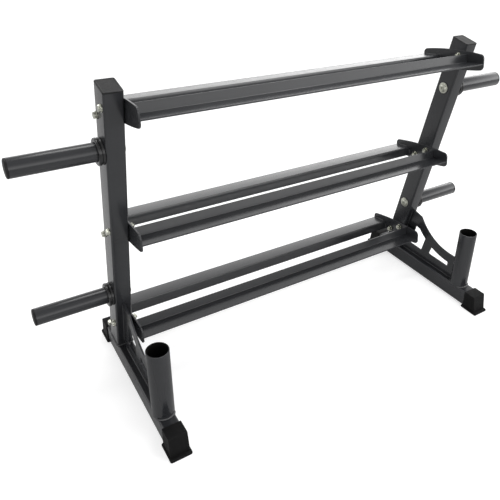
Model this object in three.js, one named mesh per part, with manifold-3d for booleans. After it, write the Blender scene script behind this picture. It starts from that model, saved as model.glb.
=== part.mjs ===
// Three-tier dumbbell rack with four plate pegs and two upright barbell holders.
// Millimetres, +Z up. X runs along the shelves, -Y is the side of the barbell holders.
// The origin is on the floor, at the centre of the rack's bounding box.
import * as THREE from "three";
import { mergeVertices } from "three/addons/utils/BufferGeometryUtils.js";
import Module from "manifold-3d";

const wasm = await Module();
wasm.setup();

// ---- driving dimensions ----
const GAP = 0.25; // clearance between pieces that touch
const FRAME_W = 1250; // across the outer faces of the two uprights
const TUBE_W = 50; // width of the upright and base tubes, along X
const UPRIGHT_D = 70; // depth of the upright tube, square to its axis
const UPRIGHT_LEN = 914; // along the axis, from the base tube to the square-cut top
const LEAN = (12.4 * Math.PI) / 180; // uprights lean towards -Y
const UPRIGHT_Y = 170; // where the upright's axis meets the top of the base tube
const WALL = 3; // tube wall
const TUBE_R = 6; // outer corner radius of the tubes
const BASE_LEN = 580;
const BASE_BOTTOM = 5.5;
const BASE_TOP = 65.5;
const SIDE_X = FRAME_W / 2 - TUBE_W / 2; // middle plane of a side frame
const HOLDER_Y = -191; // barbell holder axis
const HOLDER_R = 31.75;
const HOLDER_WALL = 3;
const HOLDER_TOP = 290;
const GUSSET_T = 5;
const TIER_V = [83, 466, 850.5]; // shelf centres, measured up the upright's axis
const TIER_TILT = (7 * Math.PI) / 180; // the shelves rise towards -Y
const PLATE_T = 5;
const PLATE_HALF = 132.5; // half length of a shelf end plate
const PLATE_SHIFT = 2; // its middle lies this far behind the shelf centre
const PLATE_END = 25; // half height at its ends
const PLATE_MID = 33; // half height in the middle
const PLATE_R = 15; // corner radius
const RAIL_OUT = 129.5; // outer edge of a shelf rail's flange from the shelf centre
const RAIL_IN = 62; // sharp outer corner of the bend, from the shelf centre
const RAIL_T = 4.5;
const RAIL_OFFSET = 8; // outer face of a flange from the shelf's middle plane
const RAIL_WALL = 30.3; // overall height of the rail's short leg
const BEND_R = 7; // outer bend radius of a rail
const FLARE = (8 * Math.PI) / 180; // the short leg stands this much past square
const SHELF_BOLTS = [
  { place: "rear", t: 23, v: -21 }, // offsets from a shelf's centre, across the upright
  { place: "front", t: -19, v: 21 }, // and along it
];
const BOLT_R = 5; // M10
const PEG_V = [221, 740]; // plate peg heights, measured up the upright's axis
const PEG_R = 25;
const PEG_WALL = 3;
const PEG_LEN = 216; // of the tube
const PEG_END = 223.5; // crown of the end cap that closes it
const PEG_BOLT_R = 7; // M14
const WASHER_T = 3.5;
const COLLAR_R = 36;
const COLLAR_LEN = 17;

// ---- materials ----
const paint = (c) =>
  new THREE.MeshStandardMaterial({ color: c, roughness: 0.38, metalness: 0.25 });
const POWDER = paint(0x3b3c3f);
const RUBBER = new THREE.MeshStandardMaterial({ color: 0x1b1b1b, roughness: 0.75 });
const PLASTIC = new THREE.MeshStandardMaterial({ color: 0x222224, roughness: 0.3 });
const CAP = new THREE.MeshStandardMaterial({ color: 0x2b2b2c, roughness: 0.5 });
const ZINC = new THREE.MeshStandardMaterial({
  color: 0xb9bbb2,
  roughness: 0.35,
  metalness: 1,
});

// ---- helpers ----
function solid(geometry) {
  const g = outward(geometry.clone());
  g.deleteAttribute("normal");
  g.deleteAttribute("uv");
  const m = mergeVertices(g, 1e-4);
  return new wasm.Manifold(
    new wasm.Mesh({
      numProp: 3,
      vertProperties: new Float32Array(m.attributes.position.array),
      triVerts: new Uint32Array(m.index.array),
    }),
  );
}

function surface(manifold) {
  const m = manifold.getMesh();
  const g = new THREE.BufferGeometry();
  g.setAttribute("position", new THREE.BufferAttribute(m.vertProperties, 3));
  g.setIndex(new THREE.BufferAttribute(m.triVerts, 1));
  g.computeVertexNormals();
  return g;
}

const cut = (geometry, tools) =>
  surface(tools.reduce((s, t) => s.subtract(solid(t)), solid(geometry)));
const join = (geometries) =>
  surface(geometries.slice(1).reduce((s, t) => s.add(solid(t)), solid(geometries[0])));

// A closed outline through points [x, y, r], each corner rounded to its radius r.
function outline(points, Type = THREE.Shape, steps = 4) {
  const path = new Type();
  const n = points.length;
  points.forEach(([x, y, r = 0], i) => {
    const p = new THREE.Vector2(x, y);
    const a = new THREE.Vector2(...points[(i + n - 1) % n].slice(0, 2)).sub(p).normalize();
    const b = new THREE.Vector2(...points[(i + 1) % n].slice(0, 2)).sub(p).normalize();
    const half = Math.acos(THREE.MathUtils.clamp(a.dot(b), -1, 1)) / 2;
    const pts = [];
    if (!r || half > Math.PI / 2 - 0.02) pts.push(p);
    else {
      const reach = r / Math.tan(half);
      const c = a.clone().add(b).normalize().multiplyScalar(r / Math.sin(half)).add(p);
      const s = a.clone().multiplyScalar(reach).add(p).sub(c);
      const e = b.clone().multiplyScalar(reach).add(p).sub(c);
      const turn = Math.atan2(s.x * e.y - s.y * e.x, s.dot(e));
      for (let k = 0; k <= steps; k++)
        pts.push(s.clone().rotateAround(new THREE.Vector2(), (turn * k) / steps).add(c));
    }
    pts.forEach((q, k) => (i || k ? path.lineTo(q.x, q.y) : path.moveTo(q.x, q.y)));
  });
  path.closePath();
  return path;
}

const rect = (w, h, r, Type, steps) =>
  outline(
    [
      [-w / 2, -h / 2, r],
      [w / 2, -h / 2, r],
      [w / 2, h / 2, r],
      [-w / 2, h / 2, r],
    ],
    Type,
    steps,
  );

const extrude = (shape, depth) =>
  new THREE.ExtrudeGeometry(shape, { depth, bevelEnabled: false });

// An outline drawn in the (y, z) plane, extruded along X from x0 to x1.
function alongX(shape, x0, x1) {
  const g = extrude(shape, x1 - x0);
  g.applyMatrix4(new THREE.Matrix4().set(0, 0, 1, x0, 1, 0, 0, 0, 0, 1, 0, 0, 0, 0, 0, 1));
  return g;
}

// A cylinder (or, with 6 sides, a hexagon) along X.
function rodX(r, x0, x1, sides = 20, y = 0, z = 0) {
  const g = new THREE.CylinderGeometry(r, r, x1 - x0, sides);
  g.rotateZ(-Math.PI / 2);
  g.translate((x0 + x1) / 2, y, z);
  return g;
}

// A turned solid about X from [x, radius] points: a ring, unless both ends lie on the axis.
function turnedX(points, segments = 28) {
  const ring = points[0][1] > 0 || points.at(-1)[1] > 0;
  const profile = [...points, ...(ring ? [points[0]] : [])].map(
    ([x, r]) => new THREE.Vector2(r, x),
  );
  const g = new THREE.LatheGeometry(profile, segments);
  g.rotateZ(-Math.PI / 2);
  return g;
}

// Turns a solid right way out if its profile ran the other way.
function outward(geometry) {
  const g = geometry.index ? geometry.toNonIndexed() : geometry;
  const p = g.attributes.position;
  const [a, b, c] = [new THREE.Vector3(), new THREE.Vector3(), new THREE.Vector3()];
  let volume = 0;
  for (let i = 0; i < p.count; i += 3) {
    a.fromBufferAttribute(p, i);
    b.fromBufferAttribute(p, i + 1);
    c.fromBufferAttribute(p, i + 2);
    volume += a.dot(b.cross(c));
  }
  if (volume > 0) return g;
  for (let i = 0; i < p.count; i += 3)
    for (let k = 0; k < 3; k++) {
      const t = p.array[(i + 1) * 3 + k];
      p.array[(i + 1) * 3 + k] = p.array[(i + 2) * 3 + k];
      p.array[(i + 2) * 3 + k] = t;
    }
  g.computeVertexNormals();
  return g;
}

function mesh(name, geometry, material) {
  const m = new THREE.Mesh(outward(geometry), material);
  m.name = name;
  return m;
}

// ---- side frame pieces; s is -1 for the left side and +1 for the right ----
const BOLT_SPOTS = TIER_V.flatMap((v) => SHELF_BOLTS.map((b) => ({ t: b.t, v: v + b.v })));

// In the upright's own frame: X across, Y its depth (t), Z along its axis (v).
function uprightTube() {
  const shape = rect(TUBE_W, UPRIGHT_D, TUBE_R, undefined, 3);
  shape.holes.push(rect(TUBE_W - 2 * WALL, UPRIGHT_D - 2 * WALL, TUBE_R - WALL, THREE.Path, 1));
  const g = extrude(shape, UPRIGHT_LEN);
  const p = g.attributes.position;
  for (let i = 0; i < p.count; i++)
    if (p.getZ(i) < 1) p.setZ(i, GAP / Math.cos(LEAN) - p.getY(i) * Math.tan(LEAN));
  const drills = BOLT_SPOTS.map(({ t, v }) => rodX(BOLT_R + 0.6, -40, 40, 12, t, v));
  PEG_V.forEach((v) => drills.push(rodX(PEG_BOLT_R + 0.7, -40, 40, 12, 0, v)));
  return cut(g, drills);
}

function uprightCap() {
  const top = extrude(rect(TUBE_W, UPRIGHT_D, TUBE_R), 3.5);
  const plug = extrude(
    rect(TUBE_W - 2 * WALL - 1, UPRIGHT_D - 2 * WALL - 1, 4, undefined, 1),
    12,
  );
  plug.translate(0, 0, -11);
  const g = join([top, plug]);
  g.translate(0, 0, UPRIGHT_LEN + GAP);
  return g;
}

function baseTube() {
  const shape = rect(TUBE_W, BASE_TOP - BASE_BOTTOM, TUBE_R);
  shape.holes.push(
    rect(TUBE_W - 2 * WALL, BASE_TOP - BASE_BOTTOM - 2 * WALL, TUBE_R - WALL, THREE.Path, 2),
  );
  const g = extrude(shape, BASE_LEN);
  g.rotateX(Math.PI / 2);
  g.translate(0, BASE_LEN / 2, (BASE_TOP + BASE_BOTTOM) / 2);
  return g;
}

// The sleeve foot on the -Y end of a base tube; the +Y end takes it turned round.
function foot() {
  const end = -BASE_LEN / 2;
  const top = BASE_TOP + GAP + 2.2;
  const side = outline([
    [end + 42, 6, 0],
    [end - 14, 6, 0],
    [end - 3.5, top, 2],
    [end + 42, top, 1],
  ]);
  const body = alongX(side, -TUBE_W / 2 - 3, TUBE_W / 2 + 3);
  const pad = extrude(rect(64, 72, 4, undefined, 2), 8);
  pad.translate(0, end + 12, 0);
  const cavity = extrude(
    rect(TUBE_W + 2 * GAP, BASE_TOP - BASE_BOTTOM + 2 * GAP, TUBE_R),
    90,
  );
  cavity.rotateX(Math.PI / 2);
  cavity.translate(0, end - GAP + 90, (BASE_TOP + BASE_BOTTOM) / 2);
  return cut(join([body, pad]), [cavity]);
}

function barbellHolder() {
  const z0 = BASE_TOP + GAP;
  const g = turnedX(
    [
      [z0, HOLDER_R - HOLDER_WALL],
      [z0, HOLDER_R],
      [HOLDER_TOP, HOLDER_R],
      [HOLDER_TOP, HOLDER_R - HOLDER_WALL],
    ],
    36,
  );
  g.rotateY(-Math.PI / 2);
  g.translate(0, HOLDER_Y, 0);
  return g;
}

// Gusset in the side frame's middle plane, with two openings a hand wide.
function gussetPlate() {
  const front = (z) =>
    UPRIGHT_Y - UPRIGHT_D / 2 / Math.cos(LEAN) - Math.tan(LEAN) * (z - BASE_TOP) - 0.35;
  const [cy, cz, r] = [-126, 368.5, 207];
  const arc = (radius, y) => [y, cz - Math.sqrt(radius * radius - (y - cy) ** 2)];
  const foot0 = BASE_TOP + GAP;
  const tube = HOLDER_Y + HOLDER_R + 0.35;
  const edge = [40, 20, -6, -40, -80].map((y) => arc(r, y));
  edge[0].push(4);
  const plate = outline([
    [front(foot0), foot0],
    [front(256), 256],
    ...edge,
    [cy, cz - r],
    [tube, cz - r],
    [tube, foot0],
  ]);
  const inner = r + 38;
  const upper = [
    [front(194) - 43, 194, 5],
    [...arc(inner, 41), 5],
    arc(inner, 24),
    [...arc(inner, 5), 5],
    [19, 101, 6],
    [front(102) - 41, 102, 6],
  ];
  const lower = [
    [...arc(inner, -33), 5],
    arc(inner, -62),
    arc(inner, -94),
    [...arc(inner, -124), 4],
    [-124, 104, 5],
    [-21, 105, 6],
  ];
  plate.holes.push(outline(upper, THREE.Path, 2), outline(lower, THREE.Path, 2));
  return alongX(plate, -GUSSET_T / 2, GUSSET_T / 2);
}

// ---- shelf pieces, in the shelf's own tilted frame: y is -u, z is w ----
// Where an upright bolt lands in the shelf's frame.
function boltOnPlate(t, v) {
  const y = t * Math.cos(LEAN) - v * Math.sin(LEAN);
  const z = t * Math.sin(LEAN) + v * Math.cos(LEAN);
  return [
    y * Math.cos(TIER_TILT) - z * Math.sin(TIER_TILT),
    y * Math.sin(TIER_TILT) + z * Math.cos(TIER_TILT),
  ];
}

function endPlate() {
  const rise = PLATE_MID - PLATE_END;
  const bow = [-80, -40, 0, 40, 80].map((y) => [
    y,
    PLATE_MID - rise * (y / PLATE_HALF) ** 2,
  ]);
  const shape = outline([
    [-PLATE_HALF, -PLATE_END, PLATE_R],
    ...bow.map(([y, z]) => [y, -z]),
    [PLATE_HALF, -PLATE_END, PLATE_R],
    [PLATE_HALF, PLATE_END, PLATE_R],
    ...bow.map(([y, z]) => [-y, z]),
    [-PLATE_HALF, PLATE_END, PLATE_R],
  ]);
  const drills = SHELF_BOLTS.map(({ t, v }) =>
    rodX(BOLT_R + 0.6, -9, 9, 12, ...boltOnPlate(t, v)),
  );
  const plate = alongX(shape, -PLATE_T / 2, PLATE_T / 2);
  plate.translate(0, PLATE_SHIFT, 0);
  return cut(plate, drills);
}

const RAIL_END = FRAME_W / 2 - TUBE_W - PLATE_T - 2 * GAP;

// The front rail (turn = 1): flange towards -Y, wall standing up along its inner edge.
// The rear rail (turn = -1) is the same section turned half round the shelf's centre.
function rail(turn) {
  const base = -RAIL_OFFSET;
  const inset = RAIL_T * Math.tan(Math.PI / 4 - FLARE / 2);
  const lean = (y, h) => [y + h * Math.tan(FLARE), base + h];
  const shape = outline(
    [
      [-RAIL_OUT, base],
      [-RAIL_IN, base, BEND_R],
      lean(-RAIL_IN, RAIL_WALL),
      [-RAIL_IN + RAIL_WALL * Math.tan(FLARE) - RAIL_T * Math.cos(FLARE),
        base + RAIL_WALL + RAIL_T * Math.sin(FLARE)],
      [-RAIL_IN - inset, base + RAIL_T, BEND_R - RAIL_T],
      [-RAIL_OUT, base + RAIL_T],
    ].map(([y, z, r]) => [turn * y, turn * z, r]),
  );
  return alongX(shape, -RAIL_END, RAIL_END);
}

// ---- fasteners and pegs, drawn for the right side with X pointing outwards ----
// x = 0 is the outer face of the upright.
function shelfBolt() {
  const inner = -TUBE_W - PLATE_T - 2 * GAP;
  return join([
    rodX(BOLT_R, inner - 14.5, 4, 12),
    rodX(10.5, inner - 2, inner - GAP, 12),
    rodX(9.6, inner - 10.5, inner - 1.5, 6),
    rodX(10.5, GAP, 2, 12),
    rodX(9.6, 1.5, 8.7, 6),
  ]);
}

function pegBolt() {
  const seat = -TUBE_W - GAP - WASHER_T - GAP;
  const head = turnedX(
    [
      [seat, 0],
      [seat, 14],
      [seat - 1.5, 13.6],
      [seat - 3.6, 11.2],
      [seat - 4.8, 8],
      [seat - 4.8, 0],
    ],
    18,
  );
  const body = join([head, rodX(PEG_BOLT_R, seat - 1, 14, 12)]);
  return cut(body, [rodX(5.8, seat - 9, seat - 1.5, 6)]);
}

function pegWasher() {
  const x0 = -TUBE_W - GAP - WASHER_T;
  return turnedX(
    [
      [x0, PEG_BOLT_R + 0.5],
      [x0, 18.2],
      [x0 + 0.8, 19],
      [x0 + WASHER_T, 19],
      [x0 + WASHER_T, PEG_BOLT_R + 0.5],
    ],
    20,
  );
}

function peg() {
  return turnedX(
    [
      [GAP, PEG_BOLT_R + 0.5],
      [GAP, PEG_R],
      [PEG_LEN, PEG_R],
      [PEG_LEN, PEG_R - PEG_WALL],
      [10, PEG_R - PEG_WALL],
      [10, PEG_BOLT_R + 0.5],
    ],
    28,
  );
}

function pegCollar() {
  const inner = PEG_R + 2 * GAP;
  const r = COLLAR_R;
  return turnedX(
    [
      [GAP, inner],
      [GAP, r - 0.6],
      [6, r - 0.6],
      [7, r - 2.6],
      [8.5, r],
      [15, r],
      [COLLAR_LEN, r - 3.5],
      [COLLAR_LEN, inner],
    ],
    24,
  );
}

// End cap: a crowned cover as wide as the tube, with a plug that fits inside it.
function pegCap() {
  const r = PEG_R - PEG_WALL - 2 * GAP;
  const z = PEG_LEN + GAP;
  return turnedX(
    [
      [PEG_END, 0],
      [PEG_END - 0.5, 12],
      [PEG_END - 1.6, PEG_R - 3.5],
      [PEG_END - 2.9, PEG_R - 1.2],
      [PEG_END - 5, PEG_R],
      [z, PEG_R],
      [z, r],
      [z - 14, r],
      [z - 14, 0],
    ],
    28,
  );
}

// ---- assembly ----
const rack = new THREE.Group();

// A frame that follows an upright: X across, Z along its axis, from the base tube's top.
function leaning(s) {
  const g = new THREE.Group();
  g.position.set(s * SIDE_X, UPRIGHT_Y, BASE_TOP);
  g.rotation.x = LEAN;
  rack.add(g);
  return g;
}

// Mirrors a right-hand piece to the left by turning it half round its upright's axis plane.
function outwards(s, piece) {
  const g = new THREE.Group();
  g.position.x = (s * TUBE_W) / 2;
  if (s < 0) g.rotation.y = Math.PI;
  piece.forEach((m) => g.add(m));
  return g;
}

for (const [s, side] of [
  [-1, "left"],
  [1, "right"],
]) {
  const flat = new THREE.Group();
  flat.position.x = s * SIDE_X;
  rack.add(flat);
  flat.add(mesh(side + "_base_tube", baseTube(), POWDER));
  flat.add(mesh(side + "_gusset_plate", gussetPlate(), POWDER));
  flat.add(mesh(side + "_barbell_holder", barbellHolder(), POWDER));
  flat.add(mesh(side + "_front_foot", foot(), RUBBER));
  const rear = mesh(side + "_rear_foot", foot(), RUBBER);
  rear.rotation.z = Math.PI;
  flat.add(rear);

  const up = leaning(s);
  up.add(mesh(side + "_upright", uprightTube(), POWDER));
  up.add(mesh(side + "_upright_cap", uprightCap(), CAP));

  PEG_V.forEach((v, i) => {
    const name = (i ? "upper_" : "lower_") + side;
    const g = outwards(s, [
      mesh(name + "_peg", peg(), POWDER),
      mesh(name + "_peg_collar", pegCollar(), PLASTIC),
      mesh(name + "_peg_cap", pegCap(), CAP),
      mesh(name + "_peg_bolt", pegBolt(), ZINC),
      mesh(name + "_peg_washer", pegWasher(), ZINC),
    ]);
    g.position.z = v;
    up.add(g);
  });

  TIER_V.forEach((v, i) => {
    const tier = ["bottom_", "middle_", "top_"][i];
    SHELF_BOLTS.forEach((b) => {
      const g = outwards(s, [mesh(tier + side + "_" + b.place + "_bolt", shelfBolt(), ZINC)]);
      g.position.y = b.t;
      g.position.z = v + b.v;
      up.add(g);
    });
  });
}

TIER_V.forEach((v, i) => {
  const tier = ["bottom_", "middle_", "top_"][i];
  const shelf = new THREE.Group();
  shelf.position.set(0, UPRIGHT_Y - v * Math.sin(LEAN), BASE_TOP + v * Math.cos(LEAN));
  shelf.rotation.x = -TIER_TILT;
  rack.add(shelf);
  shelf.add(mesh(tier + "front_rail", rail(1), POWDER));
  shelf.add(mesh(tier + "rear_rail", rail(-1), POWDER));
  for (const [s, side] of [
    [-1, "left"],
    [1, "right"],
  ]) {
    const plate = mesh(tier + side + "_end_plate", endPlate(), POWDER);
    plate.position.x = s * (FRAME_W / 2 - TUBE_W - PLATE_T / 2 - GAP);
    shelf.add(plate);
  }
});

export default rack;
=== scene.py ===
import math

import bmesh
import bpy
from mathutils import Matrix, Vector


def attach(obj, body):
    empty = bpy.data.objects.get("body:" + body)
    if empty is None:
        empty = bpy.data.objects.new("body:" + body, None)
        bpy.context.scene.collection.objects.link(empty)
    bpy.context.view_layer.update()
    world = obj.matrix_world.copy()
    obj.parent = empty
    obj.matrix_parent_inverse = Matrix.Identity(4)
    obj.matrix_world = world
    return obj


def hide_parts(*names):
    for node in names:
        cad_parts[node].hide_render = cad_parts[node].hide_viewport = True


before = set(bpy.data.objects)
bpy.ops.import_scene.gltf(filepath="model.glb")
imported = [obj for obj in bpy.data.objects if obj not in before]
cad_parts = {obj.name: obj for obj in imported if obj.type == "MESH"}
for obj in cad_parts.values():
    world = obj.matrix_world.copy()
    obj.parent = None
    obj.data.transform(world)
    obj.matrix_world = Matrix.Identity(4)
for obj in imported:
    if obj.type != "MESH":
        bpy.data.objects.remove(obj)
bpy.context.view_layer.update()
scene = bpy.context.scene

# ---------------------------------------------------------------- dimensions (metres)
GAP = 0.00025
FRAME_W, TUBE_W, UPRIGHT_D, UPRIGHT_LEN = 1.250, 0.050, 0.070, 0.914
LEAN, TILT, FLARE = (math.radians(d) for d in (12.4, 7, 8))
UPRIGHT_Y, SIDE_X = 0.170, 0.600
TUBE_R = 0.006
BASE_LEN, BASE_BOTTOM, BASE_TOP = 0.580, 0.0055, 0.0655
HOLDER_Y, HOLDER_R, HOLDER_WALL, HOLDER_TOP = -0.191, 0.03175, 0.003, 0.290
TIER_V = {"bottom": 0.083, "middle": 0.466, "top": 0.8505}
PLATE_T, PLATE_HALF, PLATE_SHIFT = 0.005, 0.1325, 0.002
PLATE_END, PLATE_MID, PLATE_R = 0.025, 0.033, 0.015
RAIL_OUT, RAIL_IN, RAIL_T, RAIL_OFFSET = 0.1295, 0.062, 0.0045, 0.0080
RAIL_WALL, BEND_R = 0.0303, 0.007
RAIL_END = FRAME_W / 2 - TUBE_W - PLATE_T - 2 * GAP
SHELF_BOLTS = {"rear": (0.023, -0.021), "front": (-0.019, 0.021)}
PEG_V = {"lower": 0.221, "upper": 0.740}
PEG_R, PEG_WALL, PEG_LEN, PEG_END = 0.025, 0.003, 0.216, 0.2235
WASHER_T, COLLAR_R, COLLAR_LEN = 0.0035, 0.036, 0.017
TUBE_WALL, GUSSET_T, BOLT_R = 0.003, 0.005, 0.005
BEAD_R, UPRIGHT_BEAD_R, HOLDER_BEAD_R, RAIL_BEAD_R = 0.0020, 0.0034, 0.0042, 0.0021

# A matrix whose local x, y, z run along the rack's Y, Z, X: outlines drawn in (y, z).
ALONG_X = Matrix(((0, 0, 1, 0), (1, 0, 0, 0), (0, 1, 0, 0), (0, 0, 0, 1)))


# ---------------------------------------------------------------- materials
def new_material(name):
    m = bpy.data.materials.new(name)
    m.use_nodes = True
    nt = m.node_tree
    return m, nt, nt.nodes["Principled BSDF"]


def node(nt, kind, **values):
    n = nt.nodes.new(kind)
    for key, value in values.items():
        if key in n.inputs:
            n.inputs[key].default_value = value
        else:
            setattr(n, key, value)
    return n


def noise(nt, scale, detail=3.0, rough=0.5, stretch=None):
    """Noise in the rack's own metres, optionally stretched along an axis."""
    t = nt.nodes.new("ShaderNodeTexCoord")
    n = node(nt, "ShaderNodeTexNoise", Scale=scale, Detail=detail, Roughness=rough)
    if stretch:
        mp = nt.nodes.new("ShaderNodeMapping")
        mp.inputs["Scale"].default_value = stretch
        nt.links.new(t.outputs["Object"], mp.inputs["Vector"])
        nt.links.new(mp.outputs["Vector"], n.inputs["Vector"])
    else:
        nt.links.new(t.outputs["Object"], n.inputs["Vector"])
    return n.outputs["Fac"]


def spread(nt, fac, low, high, lo=0.3, hi=0.7):
    n = node(nt, "ShaderNodeMapRange")
    n.inputs["From Min"].default_value, n.inputs["From Max"].default_value = lo, hi
    n.inputs["To Min"].default_value, n.inputs["To Max"].default_value = low, high
    nt.links.new(fac, n.inputs["Value"])
    return n.outputs["Result"]


def tint(nt, fac, dark, light, lo=0.3, hi=0.7):
    ramp = nt.nodes.new("ShaderNodeValToRGB")
    e = ramp.color_ramp.elements
    e[0].position, e[0].color = lo, (*dark, 1)
    e[1].position, e[1].color = hi, (*light, 1)
    nt.links.new(fac, ramp.inputs["Fac"])
    return ramp.outputs["Color"]


def bump(nt, shader, layers):
    """Stacks (height, distance, strength) layers into the shader's normal."""
    last = None
    for height, distance, strength in layers:
        b = node(nt, "ShaderNodeBump", Strength=strength, Distance=distance)
        nt.links.new(height, b.inputs["Height"])
        if last:
            nt.links.new(last, b.inputs["Normal"])
        last = b.outputs["Normal"]
    nt.links.new(last, shader.inputs["Normal"])


def powder_coat(name="powder_coat", dark=(0.0160, 0.0167, 0.0188), light=(0.0198, 0.0206, 0.0230)):
    """Charcoal powder coat: semi-gloss, with fine orange peel and soft cloudiness."""
    m, nt, s = new_material(name)
    nt.links.new(tint(nt, noise(nt, 9, 4), dark, light), s.inputs["Base Color"])
    nt.links.new(spread(nt, noise(nt, 40, 3), 0.20, 0.26), s.inputs["Roughness"])
    s.inputs["IOR"].default_value = 1.52
    bump(nt, s, [(noise(nt, 380, 2), 0.00004, 0.22), (noise(nt, 1700, 2), 0.00001, 0.25)])
    return m


def rubber():
    """Moulded black rubber: fine stipple and a few scuffs."""
    m, nt, s = new_material("foot_rubber")
    nt.links.new(
        tint(nt, noise(nt, 35, 5, 0.6), (0.0028, 0.0028, 0.0029), (0.0050, 0.0050, 0.0052)),
        s.inputs["Base Color"],
    )
    nt.links.new(spread(nt, noise(nt, 120, 3), 0.5, 0.66), s.inputs["Roughness"])
    s.inputs["Specular IOR Level"].default_value = 0.13
    bump(nt, s, [(noise(nt, 1400, 3), 0.00006, 0.4), (noise(nt, 90, 2), 0.0002, 0.08)])
    return m


def cap_plastic():
    """Spark-eroded moulded plastic of the upright caps and peg caps."""
    m, nt, s = new_material("cap_plastic")
    nt.links.new(
        tint(nt, noise(nt, 45, 4), (0.0040, 0.0040, 0.0042), (0.0062, 0.0062, 0.0064)),
        s.inputs["Base Color"],
    )
    nt.links.new(spread(nt, noise(nt, 150, 3), 0.40, 0.52), s.inputs["Roughness"])
    s.inputs["Specular IOR Level"].default_value = 0.26
    bump(nt, s, [(noise(nt, 1900, 2), 0.00003, 0.35)])
    return m


def gloss_plastic():
    """Black injection-moulded collars, glossier, with faint flow marks."""
    m, nt, s = new_material("gloss_plastic")
    nt.links.new(
        tint(nt, noise(nt, 30, 3), (0.0075, 0.0075, 0.0078), (0.0115, 0.0115, 0.012)),
        s.inputs["Base Color"],
    )
    nt.links.new(spread(nt, noise(nt, 80, 3), 0.16, 0.26), s.inputs["Roughness"])
    bump(nt, s, [(noise(nt, 240, 2, 0.5, (1, 1, 0.35)), 0.0001, 0.2)])
    return m


def zinc(name="zinc_plate", metallic=0.85, rough=(0.24, 0.38)):
    """Zinc plate with a faint greenish-yellow passivation and turning marks."""
    m, nt, s = new_material(name)
    nt.links.new(
        tint(nt, noise(nt, 130, 4), (0.40, 0.41, 0.35), (0.56, 0.56, 0.49)),
        s.inputs["Base Color"],
    )
    s.inputs["Metallic"].default_value = metallic
    nt.links.new(spread(nt, noise(nt, 500, 4, 0.6), *rough), s.inputs["Roughness"])
    bump(nt, s, [(noise(nt, 1500, 3, 0.6), 0.00004, 0.3)])
    return m


def painted_shade_bore():
    """Painted shade inside a tube: a rough, nearly black coat that darkens the bore and the inner
    rim as shade would.
    """
    m, nt, s = new_material("tube_bore_painted_shade")
    nt.links.new(
        tint(nt, noise(nt, 60, 4), (0.0012, 0.0012, 0.0011), (0.0028, 0.0026, 0.0022)),
        s.inputs["Base Color"],
    )
    nt.links.new(spread(nt, noise(nt, 200, 3), 0.6, 0.8), s.inputs["Roughness"])
    s.inputs["Specular IOR Level"].default_value = 0.1
    return m


def weld_coat_painted_highlight():
    """The coat over a weld, glossier on the ripples, with a lighter base colour that paints a
    highlight onto the bead.
    """
    m, nt, s = new_material("weld_coat_painted_highlight")
    nt.links.new(
        tint(nt, noise(nt, 60, 4), (0.018, 0.0185, 0.020), (0.030, 0.031, 0.033)),
        s.inputs["Base Color"],
    )
    nt.links.new(spread(nt, noise(nt, 300, 3), 0.10, 0.22), s.inputs["Roughness"])
    s.inputs["IOR"].default_value = 1.6
    bump(nt, s, [(noise(nt, 700, 2), 0.0001, 0.3)])
    return m


POWDER, RUBBER, CAP, GLOSS, ZINC = powder_coat(), rubber(), cap_plastic(), gloss_plastic(), zinc()
# BORE_PAINTED_SHADE is painted shade: a near-black colour for the inside of the tubes
BORE_PAINTED_SHADE, WELD_PAINTED_HIGHLIGHT, NUT_ZINC = painted_shade_bore(), weld_coat_painted_highlight(), zinc("zinc_nuts", 1.0, (0.12, 0.22))


# ---------------------------------------------------------------- mesh helpers
def outline(points, steps=8):
    """A closed outline through (x, y, r) points, each corner rounded to its radius r."""
    out = []
    n = len(points)
    for i, point in enumerate(points):
        r = point[2] if len(point) > 2 else 0
        p = Vector(point[:2])
        a = (Vector(points[i - 1][:2]) - p).normalized()
        b = (Vector(points[(i + 1) % n][:2]) - p).normalized()
        half = math.acos(max(-1, min(1, a.dot(b)))) / 2
        if not r or half > math.pi / 2 - 0.02:
            out.append(p)
            continue
        c = p + (a + b).normalized() * (r / math.sin(half))
        s, e = a * (r / math.tan(half)) + p - c, b * (r / math.tan(half)) + p - c
        turn = math.atan2(s.x * e.y - s.y * e.x, s.dot(e))
        for k in range(steps + 1):
            w = turn * k / steps
            out.append(
                c
                + Vector(
                    (
                        s.x * math.cos(w) - s.y * math.sin(w),
                        s.x * math.sin(w) + s.y * math.cos(w),
                    )
                )
            )
    return out


def rect(w, h, r, steps=8):
    x, y = w / 2, h / 2
    return outline([(-x, -y, r), (x, -y, r), (x, y, r), (-x, y, r)], steps)


def finished(bm, name, material, nodes, place=None, edge=0.0, smooth=35, segments=2):
    """Turns a bmesh into a piece: placed, recalculated, edge-rounded, ridden and slotted."""
    if place is not None:
        bmesh.ops.transform(bm, matrix=place, verts=bm.verts)
    bmesh.ops.recalc_face_normals(bm, faces=bm.faces)
    me = bpy.data.meshes.new(name)
    bm.to_mesh(me)
    bm.free()
    me.shade_smooth()
    me.set_sharp_from_angle(angle=math.radians(smooth))
    ob = bpy.data.objects.new(name, me)
    scene.collection.objects.link(ob)
    me.materials.append(material)
    if edge:
        b = ob.modifiers.new("edge", "BEVEL")
        b.width, b.segments, b.limit_method = edge, segments, "ANGLE"
        b.angle_limit = math.radians(smooth)
        b.harden_normals = True
    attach(ob, "root")
    if nodes:
        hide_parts(*nodes)
    return ob


def loop(bm, pts, z):
    return [bm.verts.new((p[0], p[1], z)) for p in pts]


def bridge(bm, a, b, close=True):
    n = len(a)
    for i in range(n if close else n - 1):
        j = (i + 1) % n
        bm.faces.new((a[i], a[j], b[j], b[i]))


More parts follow.
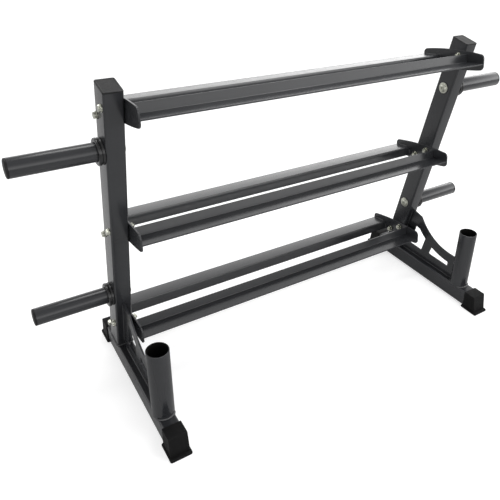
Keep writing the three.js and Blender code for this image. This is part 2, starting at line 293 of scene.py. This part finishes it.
def prism(bm, outer, z0, z1, holes=()):
    """An outline extruded from z0 to z1, with flat ends, optionally pierced."""
    rings = []
    for pts in (outer, *holes):
        a, b = loop(bm, pts, z0), loop(bm, pts, z1)
        bridge(bm, a, b)
        rings.append((a, b))
    if not holes:
        bm.faces.new(rings[0][0])
        bm.faces.new(rings[0][1])
        return
    for side in (0, 1):
        edges = []
        for pair in rings:
            ring = pair[side]
            edges += [bm.edges.get((ring[i], ring[i - 1])) for i in range(len(ring))]
        bmesh.ops.triangle_fill(bm, edges=edges, use_beauty=True)


def lathe(bm, profile, segments=64, closed=False):
    """Turns (z, r) points about the local z axis. Points on the axis close the solid."""
    rings = []
    for z, r in profile:
        if r <= 1e-7:
            rings.append([bm.verts.new((0, 0, z))])
        else:
            rings.append(
                [
                    bm.verts.new(
                        (
                            r * math.cos(2 * math.pi * k / segments),
                            r * math.sin(2 * math.pi * k / segments),
                            z,
                        )
                    )
                    for k in range(segments)
                ]
            )
    pairs = list(zip(rings, rings[1:]))
    if closed:
        pairs.append((rings[-1], rings[0]))
    for a, b in pairs:
        if len(a) == 1 and len(b) == 1:
            continue
        if len(a) == 1 or len(b) == 1:
            tip, ring = (a[0], b) if len(a) == 1 else (b[0], a)
            for k in range(segments):
                bm.faces.new((tip, ring[k], ring[(k + 1) % segments]))
        else:
            bridge(bm, a, b)


def rail_section(turn):
    """The front rail's L (turn 1), or the rear rail's, which is turned half round (-1)."""
    base, inset = -RAIL_OFFSET, RAIL_T * math.tan(math.pi / 4 - FLARE / 2)
    t = math.tan(FLARE)
    r = 0.0011
    pts = [
        (-RAIL_OUT, base, r),
        (-RAIL_IN, base, BEND_R),
        (-RAIL_IN + RAIL_WALL * t, base + RAIL_WALL, r),
        (
            -RAIL_IN + RAIL_WALL * t - RAIL_T * math.cos(FLARE),
            base + RAIL_WALL + RAIL_T * math.sin(FLARE),
            r,
        ),
        (-RAIL_IN - inset, base + RAIL_T, BEND_R - RAIL_T),
        (-RAIL_OUT, base + RAIL_T, r),
    ]
    return [(turn * y, turn * z, rr) for y, z, rr in pts]


def upright_place(s):
    return Matrix.Translation((s * SIDE_X, UPRIGHT_Y, BASE_TOP)) @ Matrix.Rotation(LEAN, 4, "X")


def shelf_place(v):
    return Matrix.Translation(
        (0, UPRIGHT_Y - v * math.sin(LEAN), BASE_TOP + v * math.cos(LEAN))
    ) @ Matrix.Rotation(-TILT, 4, "X")


def outward_place(s, t, v):
    """Local z points away from the rack, from the outer face of an upright."""
    m = upright_place(s) @ Matrix.Translation((s * TUBE_W / 2, t, v))
    return m @ Matrix.Rotation(s * math.pi / 2, 4, "Y")


# ---------------------------------------------------------------- weld beads
def bead(name, path, radius=0.0026, closed=False, pitch=0.0032):
    """A rippled weld bead along a path of points."""
    pts = [Vector(p) for p in path]
    if closed:
        pts.append(pts[0])
    total = sum((b - a).length for a, b in zip(pts, pts[1:]))
    n = max(8, int(total / (pitch / 4)))
    samples = []
    acc, seg = 0.0, 0
    for k in range(n + (0 if closed else 1)):
        d = total * k / n
        while seg < len(pts) - 2 and acc + (pts[seg + 1] - pts[seg]).length < d:
            acc += (pts[seg + 1] - pts[seg]).length
            seg += 1
        a, b = pts[seg], pts[seg + 1]
        samples.append((a.lerp(b, (d - acc) / max(1e-9, (b - a).length)), (b - a).normalized(), d))
    bm = bmesh.new()
    rings = []
    for k, (p, t, d) in enumerate(samples):
        up = Vector((0, 0, 1)) if abs(t.z) < 0.9 else Vector((1, 0, 0))
        side = t.cross(up).normalized()
        up = side.cross(t)
        wave = abs(math.sin(math.pi * d / pitch))
        end = 1.0 if closed else min(1.0, 0.35 + 8 * min(k, n - k) / n)
        r = radius * (0.86 + 0.14 * wave + 0.07 * math.sin(d * 610) * math.sin(d * 233)) * end
        rings.append(
            [
                bm.verts.new(p + side * r * math.cos(w) + up * r * math.sin(w))
                for w in (2 * math.pi * j / 8 for j in range(8))
            ]
        )
    for a, b in zip(rings, rings[1:] + (rings[:1] if closed else [])):
        bridge(bm, a, b)
    if not closed:
        bm.faces.new(rings[0])
        bm.faces.new(rings[-1])
    # the beads take a lighter colour than the coat: a painted highlight
    finished(bm, name, WELD_PAINTED_HIGHLIGHT, (), smooth=80)


# ---------------------------------------------------------------- side frames
def side_frame(s, side):
    # base tube
    bm = bmesh.new()
    h = BASE_TOP - BASE_BOTTOM
    prism(
        bm,
        rect(TUBE_W, h, TUBE_R),
        -BASE_LEN / 2,
        BASE_LEN / 2,
        [rect(TUBE_W - 2 * TUBE_WALL, h - 2 * TUBE_WALL, TUBE_R - TUBE_WALL)],
    )
    along_y = Matrix.Translation((s * SIDE_X, 0, (BASE_TOP + BASE_BOTTOM) / 2)) @ Matrix.Rotation(
        math.pi / 2, 4, "X"
    )
    finished(bm, side + "_base_tube_steel", POWDER, [side + "_base_tube"], along_y)

    # upright, cut square on top and level with the base tube below
    bm = bmesh.new()
    prism(
        bm,
        rect(TUBE_W, UPRIGHT_D, TUBE_R),
        0,
        UPRIGHT_LEN,
        [rect(TUBE_W - 2 * TUBE_WALL, UPRIGHT_D - 2 * TUBE_WALL, TUBE_R - TUBE_WALL)],
    )
    for v in bm.verts:
        if v.co.z < 0.001:
            v.co.z = GAP / math.cos(LEAN) - v.co.y * math.tan(LEAN)
    finished(bm, side + "_upright_steel", POWDER, [side + "_upright"], upright_place(s), 0.0006)

    # cap: a crowned lid with a rolled edge and a plug inside the tube
    bm = bmesh.new()
    w, d, t = TUBE_W, UPRIGHT_D, 0.0035
    steps = [
        (0.0, 0.0), (0.0, t - 0.0014), (0.0003, t - 0.0006), (0.0009, t - 0.0002), (0.0018, t),
        (0.0034, t), (0.0042, t - 0.0006), (0.0052, t - 0.0007), (0.012, t - 0.0004),
    ]
    rings = []
    for inset, z in steps:
        r = max(0.0012, TUBE_R - inset)
        rings.append(loop(bm, rect(w - 2 * inset, d - 2 * inset, r, 6), z))
    for a, b in zip(rings, rings[1:]):
        bridge(bm, a, b)
    bm.faces.new(rings[-1])
    plug = loop(bm, rect(w - 0.0075, d - 0.0075, 0.003, 6), 0.0)
    low = loop(bm, rect(w - 0.0085, d - 0.0085, 0.003, 6), -0.011)
    bridge(bm, rings[0], plug)
    bridge(bm, plug, low)
    bm.faces.new(low)
    finished(
        bm,
        side + "_upright_cap_plastic",
        CAP,
        [side + "_upright_cap"],
        upright_place(s) @ Matrix.Translation((0, 0, UPRIGHT_LEN + GAP)),
    )

    # gusset
    def front(z):
        return UPRIGHT_Y - UPRIGHT_D / 2 / math.cos(LEAN) - math.tan(LEAN) * (z - BASE_TOP) - 0.00035

    cy, cz, rad = -0.126, 0.3685, 0.207

    def arc(r, y):
        return (y, cz - math.sqrt(r * r - (y - cy) ** 2))

    foot0, tube = BASE_TOP + GAP, HOLDER_Y + HOLDER_R + 0.00035
    edge = [arc(rad, y / 1000) for y in range(40, -126, -5)]
    outer = outline(
        [
            (front(foot0), foot0),
            (front(0.256), 0.256),
            (*edge[0], 0.004),
            *edge[1:],
            (cy, cz - rad),
            (tube, cz - rad),
            (tube, foot0),
        ],
        5,
    )
    inner = rad + 0.038
    upper = outline(
        [
            (front(0.194) - 0.043, 0.194, 0.005),
            (*arc(inner, 0.041), 0.005),
            *[arc(inner, y / 1000) for y in (33, 27, 21, 15)],
            (*arc(inner, 0.005), 0.005),
            (0.019, 0.101, 0.006),
            (front(0.102) - 0.041, 0.102, 0.006),
        ],
        5,
    )
    lower = outline(
        [
            (*arc(inner, -0.033), 0.005),
            *[arc(inner, y / 1000) for y in range(-44, -114, -8)],
            (*arc(inner, -0.124), 0.004),
            (-0.124, 0.104, 0.005),
            (-0.021, 0.105, 0.006),
        ],
        5,
    )
    bm = bmesh.new()
    prism(bm, outer, -GUSSET_T / 2, GUSSET_T / 2, [upper, lower])
    place = Matrix.Translation((s * SIDE_X, 0, 0)) @ ALONG_X
    finished(bm, side + "_gusset_steel", POWDER, [side + "_gusset_plate"], place, 0.0008)

    # barbell tube
    bm = bmesh.new()
    z0, z1, ro, ri = BASE_TOP + GAP, HOLDER_TOP, HOLDER_R, HOLDER_R - HOLDER_WALL
    lathe(
        bm,
        [
            (z0, ri), (z0, ro), (z1 - 0.0009, ro), (z1 - 0.0003, ro - 0.0003),
            (z1, ro - 0.0009), (z1, ri + 0.0009), (z1 - 0.0003, ri + 0.0003),
            (z1 - 0.0009, ri),
        ],
        72,
        closed=True,
    )
    place = Matrix.Translation((s * SIDE_X, HOLDER_Y, 0))
    # painted shade: faces of the bore and the inner half of the rim get the nearly black material,
    # standing in for the shade inside the tube
    for f in bm.faces:
        if all(v.co.xy.length < ro - 0.0012 for v in f.verts):
            f.material_index = 1
    tube_ob = finished(bm, side + "_barbell_tube_steel", POWDER, [side + "_barbell_holder"], place)
    tube_ob.data.materials.append(BORE_PAINTED_SHADE)

    # feet
    for end, turn in (("front", 0), ("rear", math.pi)):
        place = Matrix.Translation((s * SIDE_X, 0, 0)) @ Matrix.Rotation(turn, 4, "Z")
        foot(f"{side}_{end}_foot_moulding", f"{side}_{end}_foot", place)

    # welds: upright and barbell tube to the base, gusset to both
    up = upright_place(s)
    ring = []
    for p in rect(TUBE_W + 0.001, UPRIGHT_D + 0.001, TUBE_R, 3):
        ring.append(up @ Vector((p.x, p.y, 0.001 - p.y * math.tan(LEAN))))
    bead(side + "_upright_weld", ring, UPRIGHT_BEAD_R, closed=True)
    hold = [
        (
            s * SIDE_X + (ro + 0.0006) * math.cos(2 * math.pi * k / 40),
            HOLDER_Y + (ro + 0.0006) * math.sin(2 * math.pi * k / 40),
            BASE_TOP + 0.0008,
        )
        for k in range(40)
    ]
    hold = [(max(s * SIDE_X - 0.0245, min(s * SIDE_X + 0.0245, x)), y, z) for x, y, z in hold]
    bead(side + "_barbell_tube_weld", hold, HOLDER_BEAD_R, closed=True)
    for k in (-1, 1):
        x = s * SIDE_X + k * 0.0031
        tag = "inner" if k * s < 0 else "outer"
        bead(
            f"{side}_gusset_{tag}_weld_base",
            [(x, tube + 0.004, foot0 + 0.001), (x, front(foot0) - 0.004, foot0 + 0.001)],
            BEAD_R,
        )
        bead(
            f"{side}_gusset_{tag}_weld_upright",
            [(x, front(z) - 0.0008, z) for z in (0.07, 0.13, 0.19, 0.252)],
            BEAD_R,
        )
        bead(
            f"{side}_gusset_{tag}_weld_tube",
            [(x, tube + 0.0008, 0.07), (x, tube + 0.0008, 0.158)],
            BEAD_R,
        )


def foot(name, cad, place):
    """The moulded rubber boot on the -Y end of a base tube, with its sole plate."""
    end = -BASE_LEN / 2
    top = BASE_TOP + GAP + 0.0022
    side = outline(
        [
            (end + 0.042, 0.0045, 0.001),
            (end - 0.0146, 0.0045, 0.001),
            (end - 0.0036, top, 0.0045),
            (end + 0.042, top, 0.0015),
        ],
        6,
    )
    half = TUBE_W / 2 + 0.003
    bm = bmesh.new()
    prism(bm, side, -half, half)
    finished(bm, name, RUBBER, [cad], place @ ALONG_X, 0.0034, 40, 4)
    bm = bmesh.new()
    rings = []
    for inset, z in ((0.0008, 0.0), (0.0, 0.0008), (0.0, 0.0052), (0.0012, 0.0072), (0.0032, 0.008)):
        pts = rect(0.064 - 2 * inset, 0.072 - 2 * inset, 0.005 - inset, 5)
        rings.append(loop(bm, [(p.x, p.y + end + 0.012) for p in pts], z))
    for a, b in zip(rings, rings[1:]):
        bridge(bm, a, b)
    bm.faces.new(rings[0])
    bm.faces.new(rings[-1])
    finished(bm, name + "_sole", RUBBER, (), place)


# ---------------------------------------------------------------- pegs
def nut(bm, across, z0, z1, twist=0.3, both=False):
    """A hexagon whose corners are turned off at its free end (or at both)."""
    r = across / math.sqrt(3)
    c = r - across / 2
    n = 8
    sides = []
    for frac, z in (
        (1 if both else 0, z0),
        (0, z0 + (z1 - z0) * (0.14 if both else 0.01)),
        (0, z1 - (z1 - z0) * 0.16),
        (1, z1),
    ):
        pts = []
        for k in range(6 * n):
            w = 2 * math.pi * k / (6 * n)
            off = (w + math.pi / 6) % (math.pi / 3) - math.pi / 6
            hexr = r * math.cos(math.pi / 6) / math.cos(math.pi / 6 - abs(off))
            lim = across / 2 + c * (1 - frac)
            rad = min(hexr, lim if frac else hexr)
            pts.append((rad * math.cos(w + twist), rad * math.sin(w + twist)))
        sides.append(loop(bm, pts, z))
    for a, b in zip(sides, sides[1:]):
        bridge(bm, a, b)
    bm.faces.new(sides[0])
    bm.faces.new(sides[-1])


def thread(bm, r, z0, z1, pitch, segments=24):
    """Turned thread ridges with a chamfered end at z0."""
    n = int(abs(z1 - z0) / pitch)
    profile = [(z0, 0), (z0, r - 0.0012)]
    step = (z1 - z0) / max(1, n)
    for k in range(n):
        z = z0 + step * k
        profile += [(z + step * 0.3, r if k else r - 0.0006), (z + step * 0.9, r - 0.0007)]
    profile += [(z1, r - 0.0007), (z1, 0)]
    lathe(bm, profile, segments)


def washer(bm, r, bore, z0, z1, segments=40):
    c = min(0.0003, (z1 - z0) / 4)
    lathe(
        bm,
        [
            (z0, bore), (z0, r - c), (z0 + c, r), (z1 - c, r), (z1, r - c), (z1, bore),
        ],
        segments,
        closed=True,
    )


def peg_set(s, side, level, v):
    name = f"{level}_{side}_peg"
    place = outward_place(s, 0, v)
    # peg tube
    bm = bmesh.new()
    ri = PEG_R - PEG_WALL
    e = 0.0007
    lathe(
        bm,
        [
            (GAP, 0.008), (GAP, PEG_R), (PEG_LEN - e, PEG_R), (PEG_LEN - e * 0.3, PEG_R - e * 0.3),
            (PEG_LEN, PEG_R - e), (PEG_LEN, ri + e), (PEG_LEN - e * 0.3, ri + e * 0.3),
            (PEG_LEN - e, ri), (0.010, ri), (0.010, 0.008),
        ],
        72,
        closed=True,
    )
    finished(bm, name + "_steel", POWDER, [name], place)
    # collar: two ribs with a groove, and a rounded lip
    bm = bmesh.new()
    R, inner = COLLAR_R, PEG_R + 2 * GAP
    lathe(
        bm,
        [
            (GAP, inner), (GAP, R - 0.0014), (0.0007, R - 0.0007), (0.0052, R - 0.0006),
            (0.0061, R - 0.0011), (0.0067, R - 0.0024), (0.0073, R - 0.0026),
            (0.0080, R - 0.0013), (0.0088, R - 0.0003), (0.0098, R), (0.0140, R - 0.0001),
            (0.0153, R - 0.0007), (0.0163, R - 0.0019), (0.0169, R - 0.0036),
            (COLLAR_LEN, R - 0.0055), (COLLAR_LEN - 0.0002, inner + 0.0022),
            (COLLAR_LEN - 0.0008, inner + 0.0005), (COLLAR_LEN - 0.0016, inner),
        ],
        72,
        closed=True,
    )
    finished(bm, name + "_collar_plastic", GLOSS, [name + "_collar"], place)
    # end cap: a crowned cover as wide as the tube, and the plug that holds it
    bm = bmesh.new()
    r, z = ri - 2 * GAP, PEG_LEN + GAP
    lathe(
        bm,
        [
            (PEG_END, 0), (PEG_END - 0.0001, 0.006), (PEG_END - 0.0005, 0.012),
            (PEG_END - 0.0010, 0.0175), (PEG_END - 0.0016, 0.0211), (PEG_END - 0.0023, 0.0230),
            (PEG_END - 0.0032, 0.0243), (PEG_END - 0.0042, 0.0249), (PEG_END - 0.0052, PEG_R),
            (z + 0.0003, PEG_R), (z, PEG_R - 0.0004), (z, r), (z - 0.012, r),
            (z - 0.014, r - 0.001), (z - 0.014, 0),
        ],
        72,
    )
    finished(bm, name + "_cap_plastic", CAP, [name + "_cap"], place)
    # washer and domed socket-head bolt on the inner face
    back = -TUBE_W - GAP - WASHER_T
    bm = bmesh.new()
    lathe(
        bm,
        [
            (back, 0.0078), (back, 0.0174), (back + 0.0003, 0.0184), (back + 0.001, 0.019),
            (back + WASHER_T - 0.0004, 0.019), (back + WASHER_T, 0.0186),
            (back + WASHER_T, 0.0078),
        ],
        56,
        closed=True,
    )
    finished(bm, name + "_washer_zinc", ZINC, [name + "_washer"], place)
    seat = back - GAP
    bm = bmesh.new()
    head = [
        (seat, 0.0), (seat, 0.0136), (seat - 0.0004, 0.014), (seat - 0.0013, 0.0137),
        (seat - 0.0025, 0.0125), (seat - 0.0036, 0.0108), (seat - 0.0044, 0.0090),
        (seat - 0.0047, 0.0074),
    ]
    segs = 48
    lathe(bm, head, segs)
    rim = [v for v in bm.verts if abs(v.co.z - (seat - 0.0047)) < 1e-6]
    rim.sort(key=lambda v: math.atan2(v.co.y, v.co.x))
    # hexagon socket cut into the crown
    def hex_ring(z, scale=1.0):
        out = []
        for v in rim:
            w = math.atan2(v.co.y, v.co.x)
            off = (w + math.pi / 6) % (math.pi / 3) - math.pi / 6
            rad = 0.0052 * math.cos(math.pi / 6) / math.cos(math.pi / 6 - abs(off)) * scale
            out.append(bm.verts.new((rad * math.cos(w), rad * math.sin(w), z)))
        return out

    a = hex_ring(seat - 0.0048, 1.06)
    b = hex_ring(seat - 0.0045)
    c = hex_ring(seat - 0.0014)
    bridge(bm, rim, a)
    bridge(bm, a, b)
    bridge(bm, b, c)
    bm.faces.new(c)
    lathe(bm, [(seat - 0.0003, 0.007), (0.012, 0.007), (0.014, 0.0058), (0.014, 0)], 24)
    finished(bm, name + "_bolt_zinc", ZINC, [name + "_bolt"], place, smooth=40)


# ---------------------------------------------------------------- shelves
def shelf_bolt(s, side, tier, end, t, v):
    name = f"{tier}_{side}_{end}_bolt"
    inner = -TUBE_W - PLATE_T - 2 * GAP
    bm = bmesh.new()
    washer(bm, 0.0105, 0.0052, inner - 0.002, inner - GAP)
    nut(bm, 0.0166, inner - 0.0105, inner - 0.002, 0.3 + v * 7, both=True)
    thread(bm, BOLT_R, inner - 0.0145, inner - 0.0100, 0.0015)
    washer(bm, 0.0105, 0.0052, GAP, 0.002)
    nut(bm, 0.0166, 0.002, 0.0087, 0.1 + v * 5)
    lathe(bm, [(inner - 0.011, 0.0046), (0.004, 0.0046)], 16)
    finished(bm, name + "_zinc", NUT_ZINC, [name], outward_place(s, t, v), smooth=30)


def shelf(tier, v):
    place = shelf_place(v)
    for turn, end in ((1, "front"), (-1, "rear")):
        bm = bmesh.new()
        prism(bm, outline(rail_section(turn), 7), -RAIL_END, RAIL_END)
        name = f"{tier}_{end}_rail"
        finished(bm, name + "_steel", POWDER, [name], place @ ALONG_X, 0.0, 30)
    rise = PLATE_MID - PLATE_END
    bow = [(y / 1000, PLATE_MID - rise * (y / 132.5) ** 2) for y in range(-105, 106, 15)]
    shape = outline(
        [
            (-PLATE_HALF, -PLATE_END, PLATE_R),
            *[(y, -z) for y, z in bow],
            (PLATE_HALF, -PLATE_END, PLATE_R),
            (PLATE_HALF, PLATE_END, PLATE_R),
            *[(-y, z) for y, z in bow],
            (-PLATE_HALF, PLATE_END, PLATE_R),
        ],
        9,
    )
    shape = [(p.x + PLATE_SHIFT, p.y) for p in shape]
    for s, side in ((-1, "left"), (1, "right")):
        x = s * (FRAME_W / 2 - TUBE_W - PLATE_T / 2 - GAP)
        bm = bmesh.new()
        prism(bm, shape, x - PLATE_T / 2, x + PLATE_T / 2)
        name = f"{tier}_{side}_end_plate"
        finished(bm, name + "_steel", POWDER, [name], place @ ALONG_X, 0.0009, 40, 3)
        # weld where each rail's hidden side meets the plate
        xw = s * (RAIL_END - 0.0004)
        for turn, end in ((1, "front"), (-1, "rear")):
            t = math.tan(FLARE)
            path = [
                (-RAIL_OUT + 0.008, -RAIL_OFFSET - 0.0004),
                (-RAIL_IN - 0.013, -RAIL_OFFSET - 0.0004),
            ]
            low = [place @ Vector((xw, turn * y, turn * z)) for y, z in path]
            bead(f"{tier}_{side}_{end}_rail_weld", low, RAIL_BEAD_R)
            h0, h1 = 0.013, RAIL_WALL - 0.003
            back = [
                place @ Vector((xw, turn * (-RAIL_IN + h * t + 0.0004), turn * (h - RAIL_OFFSET)))
                for h in (h0, h1)
            ]
            bead(f"{tier}_{side}_{end}_rail_weld_wall", back, RAIL_BEAD_R)


for s, side in ((-1, "left"), (1, "right")):
    side_frame(s, side)
    for level, v in PEG_V.items():
        peg_set(s, side, level, v)
    for tier, v in TIER_V.items():
        for end, (t, dv) in SHELF_BOLTS.items():
            shelf_bolt(s, side, tier, end, t, v + dv)
for tier, v in TIER_V.items():
    shelf(tier, v)


# ---------------------------------------------------------------- stage, light and camera
def stage_floor():
    bpy.ops.mesh.primitive_plane_add(size=60, location=(0, 0, -0.0002))
    floor = bpy.context.object
    floor.name = "floor"
    m, nt, sh = new_material("floor_white")
    sh.inputs["Base Color"].default_value = (0.6, 0.6, 0.6, 1)
    sh.inputs["Roughness"].default_value = 0.9
    sh.inputs["Specular IOR Level"].default_value = 0.0
    sh.inputs["Emission Color"].default_value = (1, 1, 1, 1)
    path = nt.nodes.new("ShaderNodeLightPath")
    lift = node(nt, "ShaderNodeMath", operation="MULTIPLY")
    lift.inputs[1].default_value = FLOOR_LIFT
    nt.links.new(path.outputs["Is Camera Ray"], lift.inputs[0])
    nt.links.new(lift.outputs[0], sh.inputs["Emission Strength"])
    floor.data.materials.append(m)


def area(name, location, target, size, power, size_y=None):
    data = bpy.data.lights.new(name, "AREA")
    data.shape = "RECTANGLE"
    data.size, data.size_y = size, size_y or size
    data.energy = power
    ob = bpy.data.objects.new(name, data)
    ob.location = location
    ob.rotation_euler = (Vector(target) - Vector(location)).to_track_quat("-Z", "Y").to_euler()
    scene.collection.objects.link(ob)
    return ob


def ramp_between(nt, value, a, b, low, high):
    n = node(nt, "ShaderNodeMapRange", interpolation_type="SMOOTHSTEP")
    for key, v in (("From Min", a), ("From Max", b), ("To Min", low), ("To Max", high)):
        n.inputs[key].default_value = v
    nt.links.new(value, n.inputs["Value"])
    return n.outputs["Result"]


def maths(nt, operation, a, b):
    n = node(nt, "ShaderNodeMath", operation=operation)
    for k, v in enumerate((a, b)):
        if isinstance(v, (int, float)):
            n.inputs[k].default_value = v
        else:
            nt.links.new(v, n.inputs[k])
    return n.outputs[0]


def studio_world():
    """A soft studio: bright low walls in front, behind and to the right, under a dimmer ceiling."""
    world = bpy.data.worlds.new("studio")
    world.use_nodes = True
    scene.world = world
    nt = world.node_tree
    back = nt.nodes["Background"]
    coord = nt.nodes.new("ShaderNodeTexCoord")
    xyz = nt.nodes.new("ShaderNodeSeparateXYZ")
    nt.links.new(coord.outputs["Generated"], xyz.inputs[0])
    low = ramp_between(nt, xyz.outputs["Z"], 0.15, 0.70, 1, 0)
    front = ramp_between(nt, xyz.outputs["Y"], 0.2, -0.6, 0, 1)
    rear = ramp_between(nt, xyz.outputs["Y"], 0.2, 0.7, 0, 1)
    wall = maths(nt, "MULTIPLY", front, FRONT_LEVEL)
    wall = maths(nt, "ADD", wall, maths(nt, "MULTIPLY", rear, REAR_LEVEL))
    beside = ramp_between(nt, xyz.outputs["X"], 0.25, 0.85, 0, 1)
    wall = maths(nt, "ADD", wall, maths(nt, "MULTIPLY", beside, SIDE_LEVEL))
    total = maths(nt, "ADD", CEILING_LEVEL, maths(nt, "MULTIPLY", low, wall))
    # the backdrop itself is plain white from every side; only its light is graded
    seen = nt.nodes.new("ShaderNodeLightPath").outputs["Is Camera Ray"]
    total = maths(nt, "MULTIPLY", total, maths(nt, "SUBTRACT", 1, seen))
    back.inputs["Color"].default_value = (1, 1, 1, 1)
    nt.links.new(maths(nt, "ADD", total, seen), back.inputs["Strength"])


FLOOR_LIFT = 0.58
CEILING_LEVEL, FRONT_LEVEL, REAR_LEVEL, SIDE_LEVEL = 0.6, 1.4, 1.0, 1.3
stage_floor()
studio_world()
area("front_softbox", (1.0, -0.75, 2.5), (0.5, -0.1, 0.5), 2.1, 24, 1.4)
area("overhead_strip", (0.2, 0.7, 3.0), (0, 0.1, 0.5), 2.6, 32, 0.9)

scene.view_settings.view_transform = "Standard"
scene.view_settings.look = "None"

cam_data = bpy.data.cameras.new("camera")
camera = bpy.data.objects.new("camera", cam_data)
scene.collection.objects.link(camera)
yaw, pitch, roll = 0.60046, 0.47424, 0.03861
forward = Vector(
    (math.sin(yaw) * math.cos(pitch), math.cos(yaw) * math.cos(pitch), -math.sin(pitch))
)
right = Vector((math.cos(yaw), -math.sin(yaw), 0))
up = right.cross(forward)
r2 = math.cos(roll) * right + math.sin(roll) * up
u2 = -math.sin(roll) * right + math.cos(roll) * up
camera.matrix_world = Matrix(
    (
        (r2.x, u2.x, -forward.x, -0.95699),
        (r2.y, u2.y, -forward.y, -1.33951),
        (r2.z, u2.z, -forward.z, 1.35023),
        (0, 0, 0, 1),
    )
)
cam_data.sensor_width = 36
cam_data.lens = 41.115
cam_data.shift_x, cam_data.shift_y = -0.0952, -0.1066
cam_data.clip_start, cam_data.clip_end = 0.05, 100
scene.camera = camera
